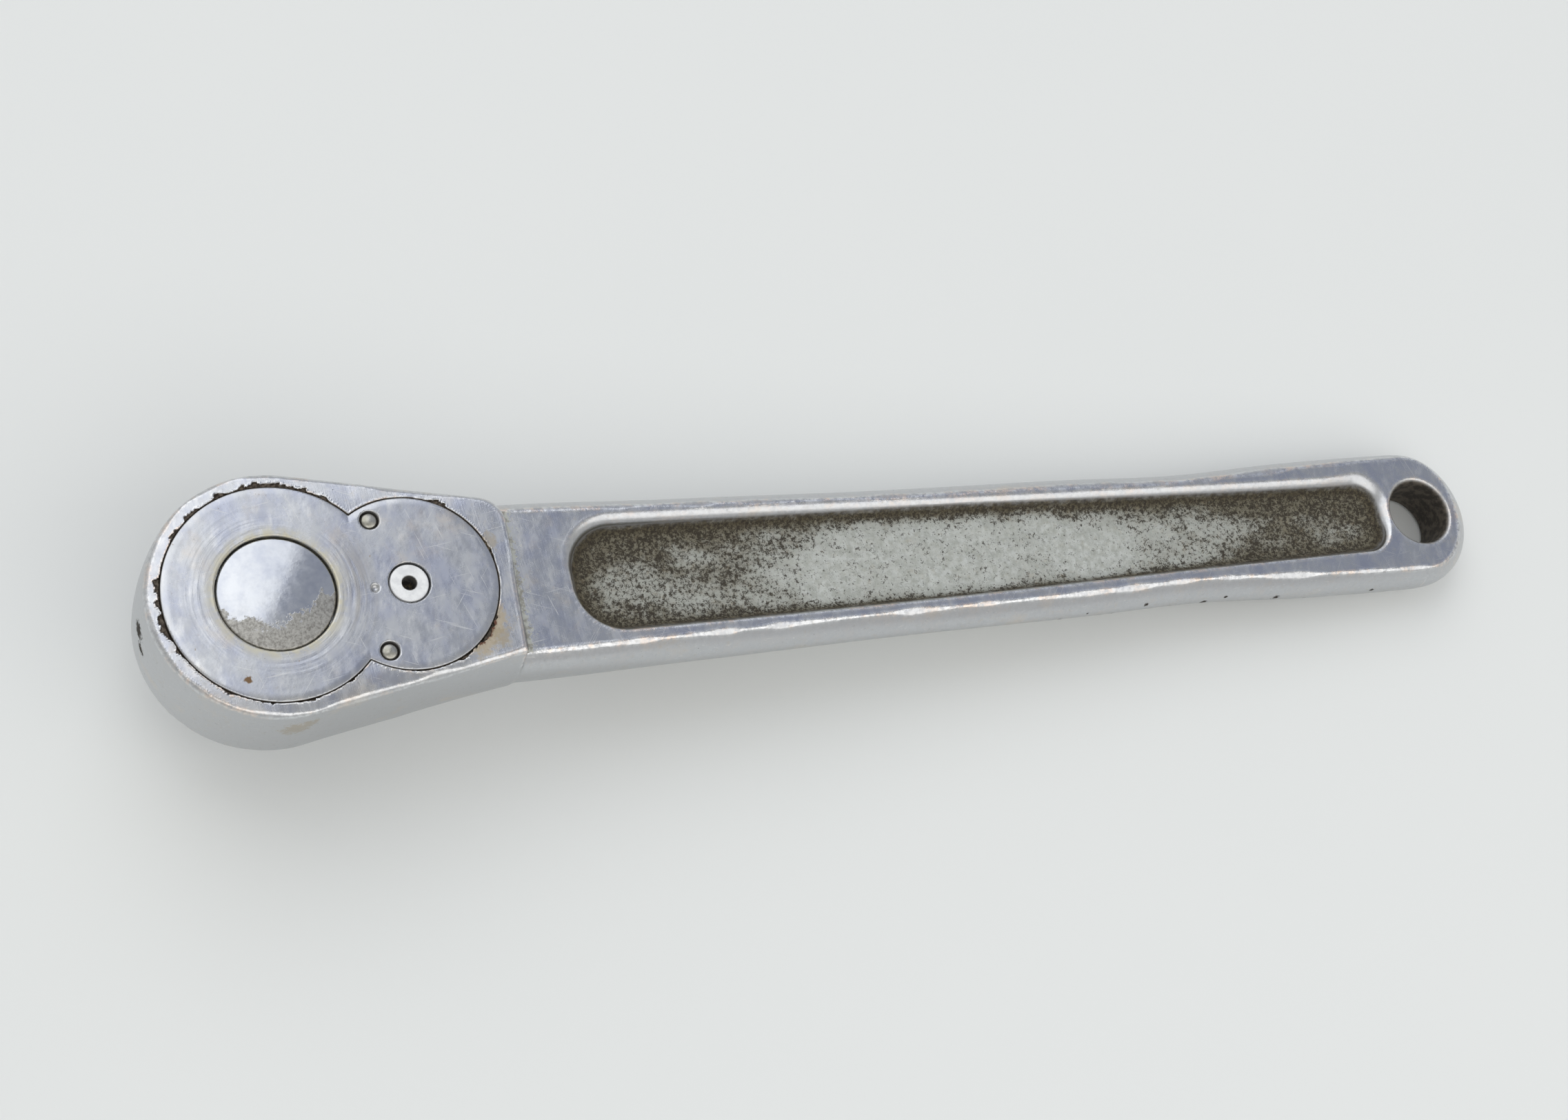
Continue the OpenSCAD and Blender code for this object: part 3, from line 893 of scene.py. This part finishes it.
def panel_coats(s):
    """The forged floor of the recesses: pale grey scale, peppered with dark pits, with grime and painted shade
    towards the walls.
    """
    p = s.paint
    panel, corner = p.mask("panel"), p.mask("corner")
    grain = p.noise(0.6, 6.0, 0.8, 90.0)
    patch = p.noise(6.0, 4.0, 0.65, 91.0, (1.8, 1, 1))
    lump = p.noise(1.3, 4.0, 0.7, 92.0)
    left_end = p.remap(p.x, 64 * MM, 105 * MM, 0.62, 0.0)
    right_end = p.remap(p.x, 150 * MM, 192 * MM, 0.0, 0.78)
    # the corner mask adds painted shade at the foot of the walls, as well as grime
    dirt_and_shade = p.math("ADD", corner, p.remap(patch, 0.34, 0.66, -0.16, 0.28))
    dirt_and_shade = p.math("ADD", dirt_and_shade, p.math("MAXIMUM", left_end, right_end))
    dirt_and_shade = p.math("ADD", dirt_and_shade, p.remap(lump, 0.3, 0.7, -0.22, 0.22))
    s.coat(panel, p.blend(p.remap(lump, 0.35, 0.65), SCALE_DARK, SCALE_PALE), 0.5, 0.4)
    s.coat(p.math("MULTIPLY", panel, p.remap(dirt_and_shade, 0.1, 1.1, 0.0, 0.85)), OLIVE, 0.75, 0.1)
    threshold = p.remap(dirt_and_shade, -0.2, 1.0, 0.575, 0.45)
    pepper = p.math("MULTIPLY", p.math("SUBTRACT", grain, threshold), 16, clamp=True)
    s.coat(p.math("MULTIPLY", panel, p.math("MULTIPLY", pepper, 0.92)), DIRT_AND_SHADE, 0.85, 0.05)
    # darkest at the foot of the walls: grime and painted shade
    foot = p.math("MULTIPLY", p.remap(corner, 0.5, 0.95), p.remap(lump, 0.3, 0.6, 0.55, 0.95))
    s.coat(foot, p.blend(p.remap(grain, 0.4, 0.6), (0.085, 0.068, 0.035), DIRT_AND_SHADE), 0.7, 0.1)
    s.relief(p.math("MULTIPLY", grain, panel), 0.16)


# Stains and dark marks on the forging: x, y, z and radius, in mm.
STAINS = ((1.0, -21.2, 12.5, 3.6), (3.2, -21.0, 14.0, 2.4), (35.0, -10.5, HEAD_T, 2.6), (35.5, 6.0, HEAD_T, 2.4))
DARK_MARKS = (
    (-21.1, -1.8, 11.0, 2.6),
    (-20.9, -4.0, 8.5, 1.7),
    (141, -12.9, 8.5, 0.6),
    (146, -12.8, 10.0, 0.5),
    (152, -12.8, 8.0, 0.9),
    (158, -12.5, 10.5, 0.7),
    (164, -12.3, 8.0, 0.8),
    (171, -12.4, 9.0, 1.1),
    (175, -12.4, 10.5, 0.6),
    (179, -12.6, 7.5, 0.8),
    (186, -13.2, 9.5, 1.2),
    (193, -13.6, 8.0, 0.9),
    (198, -13.7, 10.5, 0.6),
    (207, -13.7, 10.0, 0.8),
)


def body_material():
    p = Paint("worn_chrome_forging")
    s = worn_chrome(p, 0.0)
    edge_wear_and_highlight(s, 14.0)
    panel_coats(s)
    # tan stain and rust beside the lobe of the cover
    rust = p.math("ADD", p.mask("rust"), p.remap(p.noise(1.1, 4.0, 0.7, 20.0), 0.3, 0.7, -0.22, 0.22))
    s.coat(p.remap(rust, 0.10, 0.5, 0.0, 0.75), TAN, 0.45, 0.8)
    s.coat(p.remap(rust, 0.72, 0.92, 0.0, 0.95), RUST, 0.85, 0.0)
    # scale in the corner of the neck, and hard in the corner a dark grey line of painted shade from the step
    neck = p.mask("neck")
    crust = p.math("ADD", neck, p.remap(p.noise(0.8, 4.0, 0.7, 22.0), 0.3, 0.7, -0.35, 0.35))
    mixed = p.blend(p.patches(0.9, 0.45, 0.6, 23.0, 0.7), CRUST, OLIVE)
    s.coat(p.remap(crust, 0.25, 0.5, 0.0, 0.75), mixed, 0.7, 0.3)
    # painted shade: dark grey line hard in the corner of the neck step
    s.coat(p.remap(neck, 0.85, 0.99, 0.0, 0.9), (0.085, 0.082, 0.072), 0.55, 0.5)
    # the cover's outline, and the inside of the hanging hole
    in_seam = p.blend(p.patches(0.7, 0.42, 0.6, 28.0), (0.035, 0.025, 0.017), (0.13, 0.105, 0.08))
    s.coat(p.remap(p.mask("seam"), 0.35, 0.75), in_seam, 0.75, 0.2)
    in_hole = p.blend(p.patches(1.2, 0.42, 0.6, 25.0), (0.035, 0.027, 0.017), (0.12, 0.10, 0.075))
    s.coat(p.math("MULTIPLY", p.mask("hole"), 0.95), in_hole, 0.65, 0.3)
    # stains on the head, and dark marks low on its wall and along the near wall of the handle
    s.coat(p.math("MULTIPLY", p.spots(STAINS, 26.0), 0.55), STAIN, 0.4, 0.8)
    s.coat(p.spots(DARK_MARKS, 27.0), DIRT_AND_SHADE, 0.85, 0.0)
    return s.finish()


def cover_material():
    """Plating with turning marks round the dome, a yellowish halo, and brown in the waist."""
    p = Paint("worn_chrome_cover")
    s = worn_chrome(p, 30.0, across=False)
    radius = p.radius()
    near_hub = p.remap(radius, (HUB_R + 2) * MM, (HUB_R + 8) * MM, 1.0, 0.0)
    fine = p.rings(0.35, 1.6, 40.0)
    broad = p.rings(1.1, 0.9, 41.0)
    s.relief(p.math("MULTIPLY", fine, near_hub), 0.014)
    s.relief(p.math("MULTIPLY", broad, near_hub), 0.055)
    waist = p.math("MULTIPLY", p.remap(p.x, 9 * MM, 15 * MM), near_hub)
    s.coat(p.math("MULTIPLY", waist, p.remap(broad, 0.4, 0.6, 0.0, 0.75)), (0.34, 0.30, 0.22), 0.4)
    halo = p.remap(radius, (HUB_R + 0.1) * MM, (HUB_R + 2.6) * MM, 1.0, 0.0)
    halo = p.math("MULTIPLY", halo, p.remap(p.noise(1.6, 4.0, 0.65, 42.0), 0.35, 0.6, 0.25, 0.9))
    s.coat(halo, (0.60, 0.56, 0.42), 0.45, 0.85)
    s.coat(p.patches(1.1, 0.68, 0.74, 43.0, 0.7), (0.30, 0.20, 0.09), 0.6, 0.5)
    s.coat(p.spots(((-6.4, -13.9, HEAD_T, 0.9),), 44.0), (0.20, 0.12, 0.06), 0.6, 0.4)
    s.coat(p.remap(p.mask("rim"), 0.45, 0.85), (0.045, 0.035, 0.025), 0.75, 0.2)
    return s.finish()


def drive_material():
    """Turned steel; the dome has lost its polish below a ragged line on its near side."""
    p = Paint("worn_turned_steel")
    colour = p.blend(p.patches(3.5, 0.38, 0.66, 50.0), (0.56, 0.575, 0.60), (0.47, 0.49, 0.54))
    s = Surface(p, colour, p.remap(p.noise(1.4, 3.0, 0.6, 51.0), 0.3, 0.75, 0.12, 0.24), 1.0)
    s.relief(p.noise(1.9, 3.0, 0.6, 52.0), 0.022)
    s.relief(p.rings(0.3, 1.5, 53.0), 0.004)
    s.coat(p.patches(0.55, 0.70, 0.74, 54.0, 0.8), (0.10, 0.09, 0.08), 0.6, 0.5)
    ragged = p.remap(p.noise(2.4, 5.0, 0.7, 55.0), 0.25, 0.75, -2.2 * MM, 2.2 * MM)
    valley = p.math("MULTIPLY", p.math("ABSOLUTE", p.math("ADD", p.x, 1 * MM)), 0.55)
    line = p.math("SUBTRACT", p.math("ADD", p.y, 6.2 * MM), valley)
    worn = p.remap(p.math("ADD", line, ragged), -0.3 * MM, 0.4 * MM, 1.0, 0.0)
    worn = p.math("MULTIPLY", worn, p.remap(p.z, 17.2 * MM, 17.6 * MM))
    grit = p.noise(0.5, 4.0, 0.75, 56.0)
    s.coat(worn, p.blend(p.remap(grit, 0.35, 0.62), (0.27, 0.26, 0.24), (0.50, 0.49, 0.46)), 0.40, 0.85)
    s.relief(p.math("MULTIPLY", grit, worn), 0.03)
    return s.finish()


def selector_material():
    """Dull nickel-white end with a dark centre hole."""
    p = Paint("dull_white_steel")
    colour = p.blend(p.patches(1.2, 0.4, 0.65, 60.0), (0.92, 0.93, 0.93), (0.78, 0.79, 0.80))
    s = Surface(p, colour, 0.45, 0.25)
    s.relief(p.noise(0.3, 3.0, 0.6, 61.0), 0.01)
    s.coat(p.patches(0.4, 0.68, 0.74, 62.0, 0.7), (0.35, 0.31, 0.25))
    in_bore = p.blend(p.patches(0.6, 0.5, 0.62, 63.0), (0.010, 0.008, 0.006), (0.09, 0.07, 0.03))
    s.coat(p.mask("bore"), in_bore, 0.7, 0.0)
    return s.finish()


def plain_steel(name, colour, dark, rough, seed):
    """Turned or ground steel with fine marks and a little tarnish."""
    p = Paint(name)
    tint = p.blend(p.patches(1.6, 0.35, 0.7, seed), colour, dark)
    uneven = p.remap(p.noise(0.8, 3.0, 0.6, seed + 1), 0.3, 0.75, rough, rough + 0.18)
    s = Surface(p, tint, uneven, 1.0)
    s.relief(p.noise(0.12, 2.0, 0.6, seed + 2, (1, 1, 5)), 0.006)
    s.coat(p.patches(0.35, 0.68, 0.73, seed + 3), (0.07, 0.055, 0.04), 0.7, 0.4)
    return s.finish()


def lever_material():
    p = Paint("worn_chrome_lever")
    s = worn_chrome(p, 80.0, across=False)
    edge_wear_and_highlight(s, 94.0)
    # painted shade: the lever's concave creases darkened by a curvature mask
    s.coat(p.math("MULTIPLY", p.mask("crevice"), 0.8), DIRT_AND_SHADE, 0.8, 0.2)
    return s.finish()


bright = plain_steel("bright_steel", (0.72, 0.72, 0.72), (0.60, 0.60, 0.60), 0.16, 100.0)
rivet_steel = plain_steel("rivet_steel", (0.50, 0.49, 0.45), (0.33, 0.32, 0.27), 0.22, 110.0)
pawl_steel = plain_steel("oiled_steel", (0.30, 0.30, 0.31), (0.16, 0.15, 0.15), 0.3, 120.0)
spring_steel = plain_steel("spring_wire", (0.42, 0.42, 0.44), (0.25, 0.24, 0.24), 0.28, 130.0)

# ---------- putting the pieces together ----------

made = (
    (handle_body, "handle_body", "housing", body_material()),
    (cover, "cover_plate", "housing", cover_material()),
    (rivets[0], "cover_rivet_1", "housing", rivet_steel),
    (rivets[1], "cover_rivet_2", "housing", rivet_steel),
    (drive, "drive_gear", "drive", drive_material()),
    (shaft, "selector_shaft", "selector", selector_material()),
    (lever, "selector_lever", "selector", lever_material()),
)
for piece, node, body, material in made:
    piece.data.materials.append(material)
    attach(piece, body)
    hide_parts(node)

carried = {
    "drive_ball": bright,
    "drive_ball_spring": spring_steel,
    "pawl": pawl_steel,
    "selector_pin": rivet_steel,
    "pawl_plunger": bright,
    "pawl_spring": spring_steel,
}
for name, material in carried.items():
    piece = nodes[name]
    piece.data.materials.clear()
    piece.data.materials.append(material)

# ---------- floor ----------

# The tool lies on the tip of its square and on the end of its handle, so the floor leans to meet both.
rest_drive = Vector((SQUARE_HALF, 0, SQUARE_TIP)) * MM
rest_end = Vector((HOLE_X + 8.1, 0, MID_Z - float(half_t(HOLE_X)))) * MM
floor_x = (rest_end - rest_drive).normalized()
floor_y = Vector((0, 1, 0))
floor_z = floor_x.cross(floor_y)
floor_half = 3.0
floor_gap = 0.05 * MM

floor_mesh = bpy.data.meshes.new("floor")
corners = [
    rest_drive + floor_x * (sx * floor_half) + floor_y * (sy * floor_half) - floor_z * floor_gap
    for sx, sy in ((-1, -1), (1, -1), (1, 1), (-1, 1))
]
floor_mesh.from_pydata(corners, [], [(0, 1, 2, 3)])
floor = bpy.data.objects.new("floor", floor_mesh)
bpy.context.scene.collection.objects.link(floor)

paper = Paint("pale_paper")
tone = paper.blend(paper.noise(70, 3.0, 0.6), (0.845, 0.865, 0.855), (0.865, 0.88, 0.87))
floor_mesh.materials.append(paper.finish(tone, 0.8, 0.0, paper.bump(paper.noise(0.8, 3.0, 0.6, 1.0), 0.01)))

# ---------- light ----------


def soft_box(name, x, y, height, radiance, colour, turn=0.0):
    """A level rectangle of light over the tool, spanning x and y in metres, turned by degrees about its middle."""
    light = bpy.data.lights.new(name, "AREA")
    light.shape = "RECTANGLE"
    light.size, light.size_y = x[1] - x[0], y[1] - y[0]
    light.energy = math.pi * light.size * light.size_y * radiance
    light.color = colour
    lamp = bpy.data.objects.new(name, light)
    lamp.location = ((x[0] + x[1]) / 2, (y[0] + y[1]) / 2, height)
    lamp.rotation_euler.z = math.radians(turn)
    bpy.context.scene.collection.objects.link(lamp)


soft_box("window", (-0.73, 0.455), (0.206, 1.606), height=1.0, radiance=0.90, colour=(0.98, 0.99, 1.0), turn=-30)
soft_box("near_strip", (-0.5, 1.4), (-1.7, -0.28), height=1.0, radiance=1.0, colour=(1.0, 0.985, 0.965))

world = bpy.data.worlds.new("studio")
world.use_nodes = True
bpy.context.scene.world = world
sky = Graph(world.node_tree)
east, north, height = sky.split(sky.node("ShaderNodeTexCoord").outputs["Generated"])
shade = sky.blend(sky.remap(east, -0.1, 0.25), (0.74, 0.75, 0.76), (0.42, 0.445, 0.505))
shade = sky.blend(sky.remap(north, 0.22, 0.0), shade, (0.50, 0.50, 0.49))
shade = sky.blend(sky.remap(height, 0.35, 0.1), shade, (0.62, 0.62, 0.62))
background = sky.node("ShaderNodeBackground")
sky.link(shade, background.inputs["Color"])
background.inputs["Strength"].default_value = 1.0
sky.link(background.outputs[0], sky.node("ShaderNodeOutputWorld").inputs["Surface"])

# ---------- camera ----------

camera_distance = 0.4404
aim = Vector((86.3, -1.2, HEAD_T)) * MM
sight = Vector((0.3780, 0.3084, -0.8729)).normalized()
right = Vector((0.9229, -0.1995, 0.3292))
right = (right - sight * right.dot(sight)).normalized()
up = right.cross(sight)
place = aim - sight * camera_distance
camera_data = bpy.data.cameras.new("camera")
camera_data.sensor_width = 36
camera_data.lens = 59.48
camera_data.clip_start = 0.02
camera = bpy.data.objects.new("camera", camera_data)
camera.matrix_world = Matrix.Translation(place) @ Matrix((right, up, -sight)).transposed().to_4x4()
bpy.context.scene.collection.objects.link(camera)
bpy.context.scene.camera = camera

bpy.context.scene.view_settings.view_transform = "Standard"
